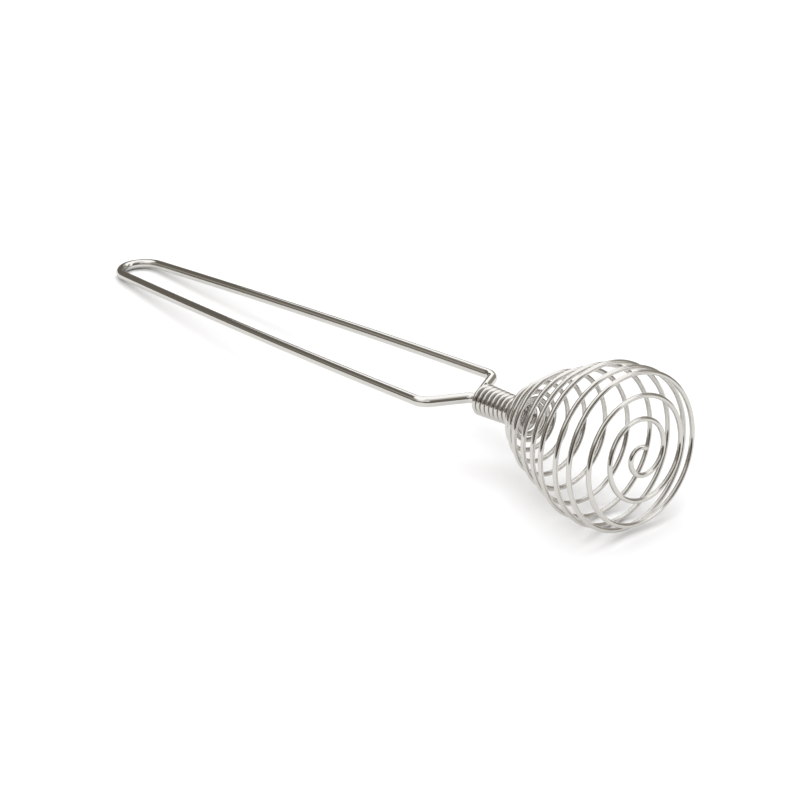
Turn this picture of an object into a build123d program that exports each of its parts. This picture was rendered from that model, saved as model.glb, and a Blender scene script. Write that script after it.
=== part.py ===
from build123d import *
import os
from math import cos, pi, radians, sin, tan

# A coil whisk lying on a table: a hairpin handle of thick wire, and one thinner wire that is
# wound tightly round the handle's two ends and then opens into a springy, pear-shaped basket.
# +Z is up, the table is Z 0, +X points from the handle's loop to the basket's tip, and the
# origin is under the middle of the whisk's bounding box.

# The two wires
handle_wire_diameter = 3.5
coil_wire_diameter = 1.6

# How the whisk lies. The neck's own frame starts on the coil axis, where the basket's axis
# crosses the line of the shoulders, and its Z runs along the axis towards the tip.
axis_rise = 5.0
neck_x = 61.73
neck_y = -1.08
neck_z = 19.70

# Handle, in a plane of its own: x towards the tip, y towards the far arm
handle_rise = 5.2
handle_swing = -0.7
handle_roll = 0.4
handle_lift = 0.35
handle_shift = -0.24
grip_end = 13.0
grip_offset = 1.77
neck_bend_start = 5.72
neck_bend_radius = 4.0
neck_bend_angle = 58.0
shoulder_run = 10.88
shoulder_radius = 6.0
shoulder_angle = 58.7
loop_centre = -192.3
loop_length_radius = 10.2
loop_width_radius = 8.35
loop_lead = 4.5

# Coil wire: turns are counted from the free end at the tip. Each row is a turn, the radius
# of the wire's centre line there and its height along the axis. The last turns of the basket
# lie almost flat round the mouth of the neck, which is one straight tube of close turns.
free_end_angle = 68.3
basket_rows = [
    (0, 2.4, 79.6),
    (0.25, 4.1, 78.7),
    (0.5, 6.1, 78.3),
    (0.75, 8.7, 78.2),
    (1, 11.1, 78.1),
    (1.5, 14.4, 78.3),
    (2, 18.4, 77.9),
    (2.5, 22.6, 77.1),
    (3, 25.0, 74.9),
    (4, 25.5, 70.1),
    (5, 25.5, 62.9),
    (6, 23.5, 57.0),
    (7, 20.5, 49.9),
    (8, 18.0, 42.6),
    (9, 14.8, 37.0),
    (10, 12.1, 32.3),
    (10.5, 10.6, 30.8),
    (11, 8.6, 30.4),
    (12, 6.3, 30.2),
    (13, 4.85, 29.2),
]
basket_turns = 14
flare_start = 11
neck_turns = 10
neck_start = 6.3
neck_end = 26.925
neck_start_radius = 4.7
neck_end_radius = 4.01

# The basket's axis leans a little off the neck's: towards the far arm, and up
lean_start = 22.8
lean_far = 1.4
lean_up = 1.2

# Drawing of the coil
points_per_turn = 12
end_gap = 0.3

neck_row = (basket_turns, neck_end_radius, neck_end)
winding_row = (basket_turns + neck_turns, neck_start_radius, neck_start)
coil_rows = basket_rows + [neck_row, winding_row]

neck_origin = (neck_x, neck_y, neck_z)
axis_direction = (cos(radians(axis_rise)), 0, sin(radians(axis_rise)))
neck_plane = Plane(origin=neck_origin, x_dir=(0, 1, 0), z_dir=axis_direction)
handle_plane = Plane(
    origin=neck_plane.from_local_coords((handle_shift, handle_lift, 0)),
    x_dir=(1, sin(radians(-handle_swing)), sin(radians(handle_rise))),
    z_dir=(-sin(radians(handle_rise)), -sin(radians(handle_roll)), 1),
)


def slope(row, column):
    """How fast a column of the coil's rows changes per turn at a row."""
    before = coil_rows[max(row - 1, 0)]
    after = coil_rows[min(row + 1, len(coil_rows) - 1)]
    return (after[column] - before[column]) / (after[0] - before[0])


def at_turn(turn, column):
    """A column of the coil's rows, carried smoothly from row to row."""
    if turn >= basket_turns:
        share = (turn - basket_turns) / neck_turns
        return neck_row[column] + share * (winding_row[column] - neck_row[column])
    row = max(i for i, entry in enumerate(coil_rows) if entry[0] <= turn)
    low, high = coil_rows[row], coil_rows[row + 1]
    span = high[0] - low[0]
    t = (turn - low[0]) / span
    rise = high[column] - low[column]
    leaving = slope(row, column) * span - rise
    arriving = slope(row + 1, column) * span - rise
    bend = leaving * (1 - t) - arriving * t
    return low[column] + t * rise + t * (1 - t) * bend


def coil_point(turn):
    """A point on the coil wire's centre line."""
    radius = at_turn(turn, 1)
    height = at_turn(turn, 2)
    angle = radians(free_end_angle + 360 * turn)
    beyond_neck = max(0, height - lean_start)
    far = radius * cos(angle) + beyond_neck * tan(radians(lean_far))
    up = radius * sin(angle) + beyond_neck * tan(radians(lean_up))
    return neck_plane.from_local_coords((far, up, height))


def clear_of(turn):
    """Half the gap at a cut through the coil wire, as a share of a turn."""
    return end_gap / 2 / (2 * pi * at_turn(turn, 1))


def coil_points(start, end):
    """Points along the coil wire between two of its turns."""
    steps = round((end - start) * points_per_turn)
    return [coil_point(start + (end - start) * i / steps) for i in range(steps + 1)]


def save(piece, name):
    piece.part.label = name
    export_step(piece.part, f"parts/{name}.step")


def handle_half(side):
    """One end of the handle wire with its two bends, drawn from the neck outwards."""
    grip = Line((grip_end, side * grip_offset), (neck_bend_start, side * grip_offset))
    bend = JernArc(grip @ 1, grip % 1, neck_bend_radius, -side * neck_bend_angle)
    run = Line(bend @ 1, (bend @ 1) + (bend % 1) * shoulder_run)
    return JernArc(run @ 1, run % 1, shoulder_radius, side * shoulder_angle)


os.makedirs("parts", exist_ok=True)

# Handle wire: one hairpin from the neck round the loop and back
with BuildPart() as handle_wire:
    with BuildLine(handle_plane) as hairpin:
        far_shoulder = handle_half(1)
        near_shoulder = handle_half(-1)
        loop = EllipticalCenterArc(
            (loop_centre, 0),
            loop_length_radius,
            loop_width_radius,
            start_angle=90 + loop_lead,
            arc_size=180 - 2 * loop_lead,
        )
        Spline(
            far_shoulder @ 1, loop @ 0, tangents=(far_shoulder % 1, loop % 0)
        )
        Spline(
            near_shoulder @ 1, loop @ 1, tangents=(near_shoulder % 1, -(loop % 1))
        )
    hairpin_wire = hairpin.wire()
    with BuildSketch(Plane(origin=hairpin_wire @ 0, z_dir=hairpin_wire % 0)):
        Circle(handle_wire_diameter / 2)
    sweep(path=hairpin_wire)
save(handle_wire, "handle_wire")


# Coil wire: the winding round the neck, the flare, then the basket turn by turn to the tip
runs = {
    "neck_winding": (basket_turns, basket_turns + neck_turns),
    "flare_turns": (flare_start, basket_turns),
}
for number in range(1, flare_start - 1):
    end = flare_start + 1 - number
    runs[f"basket_turn_{number}"] = (end - 1, end)
runs["face_spiral"] = (1, 2)
runs["tip_curl"] = (0, 1)

for name, (start, end) in runs.items():
    first = start + clear_of(start) if start > 0 else start
    last = end - clear_of(end) if end < basket_turns + neck_turns else end
    with BuildPart() as coil_run:
        with BuildLine() as centre_line:
            curve = Spline(*coil_points(first, last))
        with BuildSketch(Plane(origin=curve @ 0, z_dir=curve % 0)):
            Circle(coil_wire_diameter / 2)
        sweep(path=centre_line.wire(), is_frenet=True)
    save(coil_run, name)
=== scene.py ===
from math import atan2, cos, hypot, pi, radians, sin, tan

import bpy
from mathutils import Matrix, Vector


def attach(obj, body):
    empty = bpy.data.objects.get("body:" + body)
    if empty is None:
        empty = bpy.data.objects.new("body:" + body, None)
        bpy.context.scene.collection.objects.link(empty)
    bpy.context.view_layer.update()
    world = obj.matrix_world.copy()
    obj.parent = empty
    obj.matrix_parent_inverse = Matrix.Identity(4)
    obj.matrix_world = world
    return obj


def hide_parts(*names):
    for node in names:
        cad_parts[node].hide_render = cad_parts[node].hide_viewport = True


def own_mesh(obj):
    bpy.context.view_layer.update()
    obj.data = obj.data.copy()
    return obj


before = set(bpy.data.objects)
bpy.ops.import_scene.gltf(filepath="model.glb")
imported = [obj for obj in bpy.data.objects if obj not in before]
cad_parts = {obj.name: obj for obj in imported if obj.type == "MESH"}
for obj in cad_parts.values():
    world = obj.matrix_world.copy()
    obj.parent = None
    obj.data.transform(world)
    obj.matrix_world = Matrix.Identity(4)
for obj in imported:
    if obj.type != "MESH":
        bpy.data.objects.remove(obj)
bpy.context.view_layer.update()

MM = 0.001

# ---------------------------------------------------------------- the whisk's measures
# The same wires and the same turns as the CAD source, in millimetres.
HANDLE_WIRE = 3.5
COIL_WIRE = 1.6

NECK_START = Vector((61.73, -1.08, 19.70))
AXIS_RISE = 5.0

HANDLE_RISE = 5.2
HANDLE_SWING = -0.7
HANDLE_ROLL = 0.4
HANDLE_LIFT = 0.35
HANDLE_SHIFT = -0.24
GRIP_END = 13.0
GRIP_OFFSET = 1.77
NECK_BEND_START = 5.72
NECK_BEND_RADIUS = 4.0
NECK_BEND_ANGLE = 58.0
SHOULDER_RUN = 10.88
SHOULDER_RADIUS = 6.0
SHOULDER_ANGLE = 58.7
LOOP_CENTRE = -192.3
LOOP_LENGTH_RADIUS = 10.2
LOOP_WIDTH_RADIUS = 8.35
LOOP_LEAD = 4.5

# Coil: (turn from the free end, radius of the centre line, height along the axis). The last
# rows lie almost flat round the mouth of the neck.
FREE_END_ANGLE = 68.3
BASKET_ROWS = [
    (0, 2.4, 79.6),
    (0.25, 4.1, 78.7),
    (0.5, 6.1, 78.3),
    (0.75, 8.7, 78.2),
    (1, 11.1, 78.1),
    (1.5, 14.4, 78.3),
    (2, 18.4, 77.9),
    (2.5, 22.6, 77.1),
    (3, 25.0, 74.9),
    (4, 25.5, 70.1),
    (5, 25.5, 62.9),
    (6, 23.5, 57.0),
    (7, 20.5, 49.9),
    (8, 18.0, 42.6),
    (9, 14.8, 37.0),
    (10, 12.1, 32.3),
    (10.5, 10.6, 30.8),
    (11, 8.6, 30.4),
    (12, 6.3, 30.2),
    (13, 4.85, 29.2),
]
BASKET_TURNS = 14
FLARE_START = 11
NECK_TURNS = 10
NECK_ROW = (BASKET_TURNS, 4.01, 26.925)
WINDING_ROW = (BASKET_TURNS + NECK_TURNS, 4.7, 6.3)
COIL_ROWS = BASKET_ROWS + [NECK_ROW, WINDING_ROW]
LEAN_START = 22.8
LEAN_FAR = 1.4
LEAN_UP = 1.2

# How finely the wires are drawn
POINTS_PER_TURN = 96
SIDES = 32
BEND_STEPS = 24
ARM_STEPS = 120
LOOP_STEPS = 64
CHAMFER = 0.12  # of the wire's radius, at a cut end

AXIS = Vector((cos(radians(AXIS_RISE)), 0, sin(radians(AXIS_RISE))))
FAR = Vector((0, 1, 0))
UP = AXIS.cross(FAR)


# ---------------------------------------------------------------- centre lines
def in_neck(far, up, height):
    """A point of the neck's own frame, in the row frame and in metres."""
    return (NECK_START + FAR * far + UP * up + AXIS * height) * MM


def slope(row, column):
    """How fast a column of the coil's rows changes per turn at a row."""
    before = COIL_ROWS[max(row - 1, 0)]
    after = COIL_ROWS[min(row + 1, len(COIL_ROWS) - 1)]
    return (after[column] - before[column]) / (after[0] - before[0])


def at_turn(turn, column):
    """A column of the coil's rows, carried smoothly from row to row."""
    if turn >= BASKET_TURNS:
        share = (turn - BASKET_TURNS) / NECK_TURNS
        return NECK_ROW[column] + share * (WINDING_ROW[column] - NECK_ROW[column])
    row = max(i for i, entry in enumerate(COIL_ROWS) if entry[0] <= turn)
    low, high = COIL_ROWS[row], COIL_ROWS[row + 1]
    span = high[0] - low[0]
    t = (turn - low[0]) / span
    rise = high[column] - low[column]
    leaving = slope(row, column) * span - rise
    arriving = slope(row + 1, column) * span - rise
    bend = leaving * (1 - t) - arriving * t
    return low[column] + t * rise + t * (1 - t) * bend


def coil_point(turn):
    """A point on the coil wire's centre line."""
    radius = at_turn(turn, 1)
    height = at_turn(turn, 2)
    angle = radians(FREE_END_ANGLE + 360 * turn)
    beyond_neck = max(0, height - LEAN_START)
    far = radius * cos(angle) + beyond_neck * tan(radians(LEAN_FAR))
    up = radius * sin(angle) + beyond_neck * tan(radians(LEAN_UP))
    return in_neck(far, up, height)


def coil_line(start, end):
    """The coil wire's centre line between two of its turns."""
    steps = round((end - start) * POINTS_PER_TURN)
    return [coil_point(start + (end - start) * i / steps) for i in range(steps + 1)]


def walk(points, heading, radius, angle):
    """Carries a flat line on round an arc, and gives the heading after it."""
    side = 1 if angle > 0 else -1
    x, y = points[-1]
    centre_x = x - side * radius * sin(heading)
    centre_y = y + side * radius * cos(heading)
    for i in range(1, BEND_STEPS + 1):
        now = heading + radians(angle) * i / BEND_STEPS
        points.append((centre_x + side * radius * sin(now), centre_y - side * radius * cos(now)))
    return heading + radians(angle)


def arm(start, heading, end, arrival):
    """A gently bowed arm between two flat points with the headings given."""
    (x0, y0), (x1, y1) = start, end
    reach = hypot(x1 - x0, y1 - y0)
    points = []
    for i in range(1, ARM_STEPS):
        t = i / ARM_STEPS
        a, b = 2 * t**3 - 3 * t**2 + 1, t**3 - 2 * t**2 + t
        c, d = 3 * t**2 - 2 * t**3, t**3 - t**2
        points.append((
            a * x0 + c * x1 + reach * (b * cos(heading) + d * cos(arrival)),
            a * y0 + c * y1 + reach * (b * sin(heading) + d * sin(arrival)),
        ))
    return points


def loop_point(angle):
    """A point on the handle's round end, on the handle's own plane."""
    across = LOOP_WIDTH_RADIUS * sin(radians(angle))
    return (LOOP_CENTRE + LOOP_LENGTH_RADIUS * cos(radians(angle)), across)


def handle_half(side):
    """Half the hairpin on its own plane, from the end in the neck to the loop."""
    points = [(GRIP_END, side * GRIP_OFFSET), (NECK_BEND_START, side * GRIP_OFFSET)]
    heading = walk(points, pi, NECK_BEND_RADIUS, -side * NECK_BEND_ANGLE)
    x, y = points[-1]
    points.append((x + SHOULDER_RUN * cos(heading), y + SHOULDER_RUN * sin(heading)))
    heading = walk(points, heading, SHOULDER_RADIUS, side * SHOULDER_ANGLE)
    lead = radians(90 + LOOP_LEAD)
    arrival = atan2(LOOP_WIDTH_RADIUS * cos(lead), -LOOP_LENGTH_RADIUS * sin(lead))
    loop_start = loop_point(90 + LOOP_LEAD)
    end = (loop_start[0], side * loop_start[1])
    points += arm(points[-1], heading, end, side * arrival)
    return points


def handle_line():
    """The whole hairpin, in the row frame and in metres."""
    turn = 180 - 2 * LOOP_LEAD
    loop = [
        loop_point(90 + LOOP_LEAD + turn * i / LOOP_STEPS) for i in range(LOOP_STEPS + 1)
    ]
    flat = handle_half(1) + loop + handle_half(-1)[::-1]
    along = Vector((1, sin(radians(-HANDLE_SWING)), sin(radians(HANDLE_RISE))))
    normal = Vector((-sin(radians(HANDLE_RISE)), -sin(radians(HANDLE_ROLL)), 1)).normalized()
    along = (along - normal * along.dot(normal)).normalized()
    across = normal.cross(along)
    origin = NECK_START + FAR * HANDLE_SHIFT + UP * HANDLE_LIFT
    return [(origin + along * x + across * y) * MM for x, y in flat]


# ---------------------------------------------------------------- wire
def tube(name, line, diameter, material, cut_ends=(0, -1)):
    """A round wire along a line, with a slightly broken edge at each end that is cut."""
    radius = diameter / 2
    tangents = []
    for i in range(len(line)):
        tangents.append((line[min(i + 1, len(line) - 1)] - line[max(i - 1, 0)]).normalized())
    side = tangents[0].orthogonal().normalized()
    rings = []
    travelled = 0.0
    for i, (point, tangent) in enumerate(zip(line, tangents)):
        side = (side - tangent * side.dot(tangent)).normalized()
        if i:
            travelled += (point - line[i - 1]).length
        rings.append((point, tangent, side, radius, travelled))
    chamfer = CHAMFER * radius
    for end in cut_ends:
        inward = 1 if end == 0 else -1
        point, tangent, side, _, at = rings[end]
        rim = (point, tangent, side, radius - chamfer, at)
        shoulder = (point + tangent * inward * chamfer, tangent, side, radius, at)
        rings[end] = shoulder
        rings.insert(0 if end == 0 else len(rings), rim)
    verts = []
    for point, tangent, side, size, _ in rings:
        other = tangent.cross(side)
        for k in range(SIDES):
            angle = 2 * pi * k / SIDES
            verts.append(point + (side * cos(angle) + other * sin(angle)) * size)
    faces = []
    for i in range(len(rings) - 1):
        for k in range(SIDES):
            a, b = i * SIDES + k, i * SIDES + (k + 1) % SIDES
            faces.append((a, b, b + SIDES, a + SIDES))
    last = (len(rings) - 1) * SIDES
    caps = [tuple(reversed(range(SIDES))), tuple(range(last, last + SIDES))]
    mesh = bpy.data.meshes.new(name)
    mesh.from_pydata([tuple(v) for v in verts], [], faces + caps)
    uv = mesh.uv_layers.new(name="wire")
    for face in mesh.polygons:
        face.use_smooth = len(face.vertices) == 4
        if len(face.vertices) != 4:
            continue
        ring, k = divmod(face.index, SIDES)
        lengths = (rings[ring][4], rings[ring + 1][4])
        corners = ((0, k), (0, k + 1), (1, k + 1), (1, k))
        for loop, (end, around) in zip(face.loop_indices, corners):
            uv.data[loop].uv = (lengths[end] / diameter, around / SIDES)
    mesh.materials.append(material)
    piece = bpy.data.objects.new(name, mesh)
    bpy.context.collection.objects.link(piece)
    return piece


# ---------------------------------------------------------------- materials
def new_material(name):
    """An empty node material."""
    material = bpy.data.materials.new(name)
    material.use_nodes = True
    nodes = material.node_tree.nodes
    nodes.clear()
    return material, nodes, material.node_tree.links


def add(nodes, kind, **values):
    """A new node with some of its settings."""
    node = nodes.new(kind)
    for key, value in values.items():
        setattr(node, key, value)
    return node


DRAWN_LINES = (0.15, 40, 1)  # along the wire, round it
CLOUD_SCALE = 180.0
CLOUD_SPREAD = (0.75, 1.35)
LINE_SHADE = 0.975
LINE_RELIEF = (0.015, 0.00003)  # strength, depth


def steel(name, tint, roughness, seed):
    """Polished stainless wire: faint drawn lines along it and slight cloudiness."""
    material, nodes, links = new_material(name)
    output = add(nodes, "ShaderNodeOutputMaterial")
    surface = add(nodes, "ShaderNodeBsdfPrincipled")
    surface.inputs["Metallic"].default_value = 1.0
    links.new(surface.outputs[0], output.inputs[0])
    where = add(nodes, "ShaderNodeTexCoord")

    stretch = add(nodes, "ShaderNodeMapping")
    stretch.inputs["Scale"].default_value = DRAWN_LINES
    stretch.inputs["Location"].default_value = (seed, seed, 0)
    links.new(where.outputs["UV"], stretch.inputs["Vector"])
    drawn = add(nodes, "ShaderNodeTexNoise")
    drawn.inputs["Scale"].default_value = 1.0
    drawn.inputs["Detail"].default_value = 3.0
    links.new(stretch.outputs[0], drawn.inputs["Vector"])

    cloud = add(nodes, "ShaderNodeTexNoise")
    cloud.inputs["Scale"].default_value = CLOUD_SCALE
    cloud.inputs["Detail"].default_value = 4.0
    links.new(where.outputs["Object"], cloud.inputs["Vector"])

    rough = add(nodes, "ShaderNodeMapRange")
    rough.inputs["To Min"].default_value = roughness * CLOUD_SPREAD[0]
    rough.inputs["To Max"].default_value = roughness * CLOUD_SPREAD[1]
    links.new(cloud.outputs["Fac"], rough.inputs["Value"])
    links.new(rough.outputs[0], surface.inputs["Roughness"])

    shade = add(nodes, "ShaderNodeMix", data_type="RGBA")
    shade.inputs["A"].default_value = (*[c * LINE_SHADE for c in tint], 1)
    shade.inputs["B"].default_value = (*tint, 1)
    links.new(drawn.outputs["Fac"], shade.inputs["Factor"])
    links.new(shade.outputs["Result"], surface.inputs["Base Color"])

    bump = add(nodes, "ShaderNodeBump")
    bump.inputs["Strength"].default_value = LINE_RELIEF[0]
    bump.inputs["Distance"].default_value = LINE_RELIEF[1]
    links.new(drawn.outputs["Fac"], bump.inputs["Height"])
    links.new(bump.outputs[0], surface.inputs["Normal"])
    return material


# ---------------------------------------------------------------- pieces
handle_steel = steel("handle steel", (0.665, 0.655, 0.63), 0.07, 3.0)
# The coil's steel is painted a little darker than the handle's: painted shade, for the crowded
# turns darkening one another.
coil_steel = steel("coil steel", (0.645, 0.63, 0.605), 0.08, 11.0)

handle = tube("handle_wire_polished", handle_line(), HANDLE_WIRE * MM, handle_steel)
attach(handle, "handle")
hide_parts("handle_wire")

winding_line = coil_line(FLARE_START, BASKET_TURNS + NECK_TURNS)
winding = tube("neck_winding_polished", winding_line, COIL_WIRE * MM, coil_steel, cut_ends=(-1,))
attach(winding, "handle")
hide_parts("neck_winding", "flare_turns")

basket_line = coil_line(0, FLARE_START)
basket = tube("basket_coil_polished", basket_line, COIL_WIRE * MM, coil_steel, cut_ends=(0,))
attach(basket, "handle")
turns = [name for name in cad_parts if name.startswith("basket_turn")]
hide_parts("face_spiral", "tip_curl", *turns)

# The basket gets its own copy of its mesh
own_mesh(basket)


# ---------------------------------------------------------------- studio
# Directions in the studio are given as the camera sees them: a bearing of 0 points straight
# away from it, 90 to its right, and the height is above the table.
CAMERA_AZIMUTH = 51.0
FLOOR_COLOUR = (0.94, 0.946, 0.957)
FLOOR_HALF_WIDTH = 30
FLOOR_HEIGHT = -0.0002  # just under the card, which lies on the table's surface
# The table as the wire sees it, darker than the white table: painted shade for the dimmer table in
# the reflections.
SHADED_CARD_COLOUR = (0.86, 0.86, 0.86)
PANEL_GLOW = 1.45
BACK_PANEL = (-0.125, 0.095, 0.08, 0.36, 0.25)  # left, right, low, high, away
TABLE_CARD = (-0.40, 0.40, 0.24, 1.5)  # left, right, near, far
KEY_LIGHT = (-12, 60, 1.2, 1.0, 3.1)  # bearing, height, distance, size, power
FILL_LIGHT = (-170, 50, 1.2, 0.8, 4.4)
AWAY = Vector((-sin(radians(CAMERA_AZIMUTH)), cos(radians(CAMERA_AZIMUTH)), 0))
ACROSS = Vector((cos(radians(CAMERA_AZIMUTH)), sin(radians(CAMERA_AZIMUTH)), 0))


def studio_place(across, away, height):
    """A place in the studio in metres, measured from the neck."""
    ground = NECK_START * MM
    return Vector((ground.x, ground.y, 0)) + ACROSS * across + AWAY * away + Vector((0, 0, height))


def emission(name, strength):
    """A plain glowing surface."""
    material, nodes, links = new_material(name)
    output = add(nodes, "ShaderNodeOutputMaterial")
    glow = add(nodes, "ShaderNodeEmission")
    glow.inputs["Strength"].default_value = strength
    links.new(glow.outputs[0], output.inputs[0])
    return material


def matt(name, colour):
    """A plain matt white surface."""
    material, nodes, links = new_material(name)
    output = add(nodes, "ShaderNodeOutputMaterial")
    surface = add(nodes, "ShaderNodeBsdfPrincipled")
    surface.inputs["Base Color"].default_value = (*colour, 1)
    surface.inputs["Roughness"].default_value = 0.9
    surface.inputs["Specular IOR Level"].default_value = 0.1
    links.new(surface.outputs[0], output.inputs[0])
    return material


def flat_piece(name, corners, material):
    """A flat four-cornered piece of the studio."""
    mesh = bpy.data.meshes.new(name)
    mesh.from_pydata([tuple(corner) for corner in corners], [], [(0, 1, 2, 3)])
    mesh.materials.append(material)
    piece = bpy.data.objects.new(name, mesh)
    bpy.context.collection.objects.link(piece)
    return piece


def table_corners(left, right, near, far, height):
    """The corners of a level rectangle, in metres from the neck."""
    return [
        studio_place(left, -near, height),
        studio_place(right, -near, height),
        studio_place(right, far, height),
        studio_place(left, far, height),
    ]


def studio_floor():
    """The white table. The wire reflects only its near part, as a darker copy with painted shade,
    and the dark room beyond that.
    """
    reach = FLOOR_HALF_WIDTH
    corners = table_corners(-reach, reach, reach, reach, FLOOR_HEIGHT)
    floor = flat_piece("studio_floor", corners, matt("white table", FLOOR_COLOUR))
    floor.visible_glossy = False
    corners = table_corners(*TABLE_CARD, 0)
    # A darker copy of the table with painted shade, seen only in reflections.
    card = flat_piece("table_card", corners, matt("table seen in the wire", SHADED_CARD_COLOUR))
    card.visible_camera = False
    card.visible_diffuse = False
    card.visible_shadow = False


def back_panel():
    """A white panel hung behind the neck, above the picture, which only the wire sees."""
    left, right, low, high, away = BACK_PANEL
    corners = [
        studio_place(left, away, low),
        studio_place(right, away, low),
        studio_place(right, away, high),
        studio_place(left, away, high),
    ]
    panel = flat_piece("back_panel", corners, emission("white panel", PANEL_GLOW))
    panel.visible_camera = False
    panel.visible_diffuse = False
    panel.visible_shadow = False


def soft_light(name, bearing, height, distance, size, power):
    """A large soft light over the table, which the wire sees as the bright sky instead."""
    level = AWAY * cos(radians(bearing)) + ACROSS * sin(radians(bearing))
    toward = level * cos(radians(height)) + Vector((0, 0, sin(radians(height))))
    data = bpy.data.lights.new(name, "AREA")
    data.shape = "DISK"
    data.size = size
    data.energy = power
    light = bpy.data.objects.new(name, data)
    light.location = studio_place(0, 0, 0) + toward * distance
    light.rotation_mode = "QUATERNION"
    light.rotation_quaternion = (-toward).to_track_quat("-Z", "Y")
    light.visible_glossy = False
    bpy.context.collection.objects.link(light)


DARK_ROOM = 0.165
SOFTBOX = 1.45
WINDOW = 1.35
# Each patch: brightness, sector (bearing, half width, softness), above (height, softness),
# below (height, softness), painted over the patches before it.
SKY_PATCHES = [
    (0.33, (62, 45, 8), None, None),
    (0.20, (165, 30, 10), (8, 5), None),
    (0.06, (-175, 35, 10), None, (8, 5)),
    (0.65, (28, 18, 8), (24, 5), None),
    (0.42, (-92, 22, 10), (14, 5), None),
    (0.45, (-132, 14, 8), (-4, 4), None),
    (1.0, (-140, 36, 8), (26, 4), None),
    (0.70, None, (50, 5), None),
    (SOFTBOX, (10, 112, 8), (46, 4), None),
    (SOFTBOX, (-75, 55, 10), (41, 3), None),
    (SOFTBOX, (40, 30, 10), (42, 4), None),
    (1.42, None, (76, 5), None),
    (WINDOW, (104, 14, 5), (5, 4), (62, 6)),
]
WARM_SHADE = (1.06, 0.96, 0.82, 1)
NEUTRAL = (1, 1, 1, 1)
WARM_BELOW = (0.15, 1.0)  # brightness where the warm tint is full, and where it is gone


class Surroundings:
    """A sky that is painted in patches, each mixed over the ones before it."""

    def __init__(self, nodes, links):
        self.nodes, self.links = nodes, links
        where = add(nodes, "ShaderNodeTexCoord")
        self.direction = where.outputs["Generated"]
        split = add(nodes, "ShaderNodeSeparateXYZ")
        links.new(self.direction, split.inputs[0])
        self.height = split.outputs["Z"]
        flat = add(nodes, "ShaderNodeVectorMath", operation="MULTIPLY")
        flat.inputs[1].default_value = (1, 1, 0)
        links.new(self.direction, flat.inputs[0])
        level = add(nodes, "ShaderNodeVectorMath", operation="NORMALIZE")
        links.new(flat.outputs[0], level.inputs[0])
        self.heading = level.outputs[0]
        self.value = None

    def ramp(self, value, low, high):
        """A soft step from 0 at low to 1 at high."""
        step = add(self.nodes, "ShaderNodeMapRange", interpolation_type="SMOOTHSTEP")
        step.inputs["From Min"].default_value = low
        step.inputs["From Max"].default_value = high
        self.links.new(value, step.inputs["Value"])
        return step.outputs[0]

    def sector(self, bearing, half_width, soft):
        """1 within half_width degrees of a bearing, on the level."""
        angle = radians(bearing)
        middle = AWAY * cos(angle) + ACROSS * sin(angle)
        dot = add(self.nodes, "ShaderNodeVectorMath", operation="DOT_PRODUCT")
        dot.inputs[1].default_value = middle
        self.links.new(self.heading, dot.inputs[0])
        outer = cos(radians(min(180, half_width + soft)))
        inner = cos(radians(max(0, half_width - soft)))
        return self.ramp(dot.outputs["Value"], outer, inner)

    def above(self, elevation, soft):
        """1 above a height in degrees."""
        low, high = sin(radians(elevation - soft)), sin(radians(elevation + soft))
        return self.ramp(self.height, low, high)

    def below(self, elevation, soft):
        """1 below a height in degrees."""
        low, high = sin(radians(elevation - soft)), sin(radians(elevation + soft))
        return self.ramp(self.height, high, low)

    def paint(self, brightness, *masks):
        """Mixes a brightness over what is there, where all the masks are 1."""
        if self.value is None:
            base = add(self.nodes, "ShaderNodeValue")
            base.outputs[0].default_value = brightness
            self.value = base.outputs[0]
            return
        share = masks[0]
        for mask in masks[1:]:
            both = add(self.nodes, "ShaderNodeMath", operation="MULTIPLY")
            self.links.new(share, both.inputs[0])
            self.links.new(mask, both.inputs[1])
            share = both.outputs[0]
        mix = add(self.nodes, "ShaderNodeMix", data_type="FLOAT")
        self.links.new(share, mix.inputs["Factor"])
        self.links.new(self.value, mix.inputs["A"])
        mix.inputs["B"].default_value = brightness
        self.value = mix.outputs["Result"]


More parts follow.
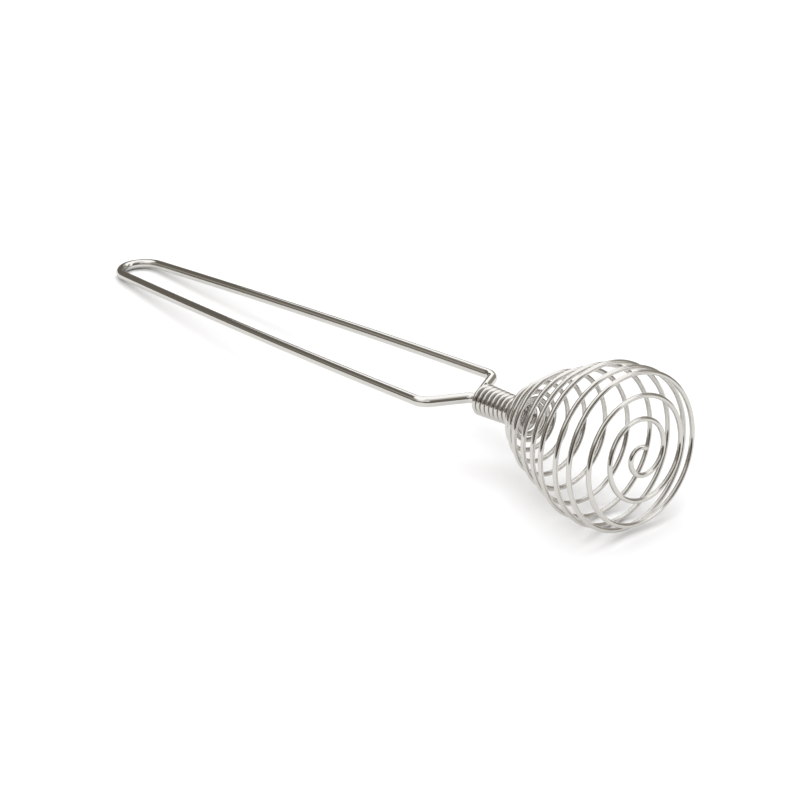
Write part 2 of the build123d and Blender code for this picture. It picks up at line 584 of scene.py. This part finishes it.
def studio_world():
    """A dark room round a white tent: soft light overhead, a window to the right."""
    world = bpy.data.worlds.new("studio")
    bpy.context.scene.world = world
    world.use_nodes = True
    nodes, links = world.node_tree.nodes, world.node_tree.links
    nodes.clear()
    sky = Surroundings(nodes, links)
    sky.paint(DARK_ROOM)
    for brightness, sector, above_band, below_band in SKY_PATCHES:
        masks = []
        if sector:
            masks.append(sky.sector(*sector))
        if above_band:
            masks.append(sky.above(*above_band))
        if below_band:
            masks.append(sky.below(*below_band))
        sky.paint(brightness, *masks)

    warmth = add(nodes, "ShaderNodeMapRange")
    warmth.inputs["From Min"].default_value = WARM_BELOW[0]
    warmth.inputs["From Max"].default_value = WARM_BELOW[1]
    links.new(sky.value, warmth.inputs["Value"])
    colour = add(nodes, "ShaderNodeMix", data_type="RGBA")
    colour.inputs["A"].default_value = WARM_SHADE
    colour.inputs["B"].default_value = NEUTRAL
    links.new(warmth.outputs[0], colour.inputs["Factor"])
    background = add(nodes, "ShaderNodeBackground")
    links.new(colour.outputs["Result"], background.inputs["Color"])
    links.new(sky.value, background.inputs["Strength"])
    output = add(nodes, "ShaderNodeOutputWorld")
    links.new(background.outputs[0], output.inputs[0])
    return world


studio_floor()
back_panel()
soft_light("key_light", *KEY_LIGHT)
soft_light("fill_light", *FILL_LIGHT)
studio_world()

# ---------------------------------------------------------------- camera
CAMERA_ELEVATION = 25.58
CAMERA_DISTANCE = 736.8
CAMERA_LEFT = 22.75
CAMERA_DOWN = 2.0
FOCAL_LENGTH = 101.4
SENSOR_WIDTH = 36.0

elevation = radians(CAMERA_ELEVATION)
back = Vector((0, 0, sin(elevation))) - AWAY * cos(elevation)
above = back.cross(ACROSS)
camera_data = bpy.data.cameras.new("camera")
camera_data.lens = FOCAL_LENGTH
camera_data.sensor_width = SENSOR_WIDTH
camera = bpy.data.objects.new("camera", camera_data)
target = NECK_START - ACROSS * CAMERA_LEFT - above * CAMERA_DOWN
camera.location = (target + back * CAMERA_DISTANCE) * MM
camera.rotation_mode = "QUATERNION"
camera.rotation_quaternion = (-back).to_track_quat("-Z", "Y")
bpy.context.collection.objects.link(camera)
bpy.context.scene.camera = camera
bpy.context.scene.view_settings.view_transform = "Standard"
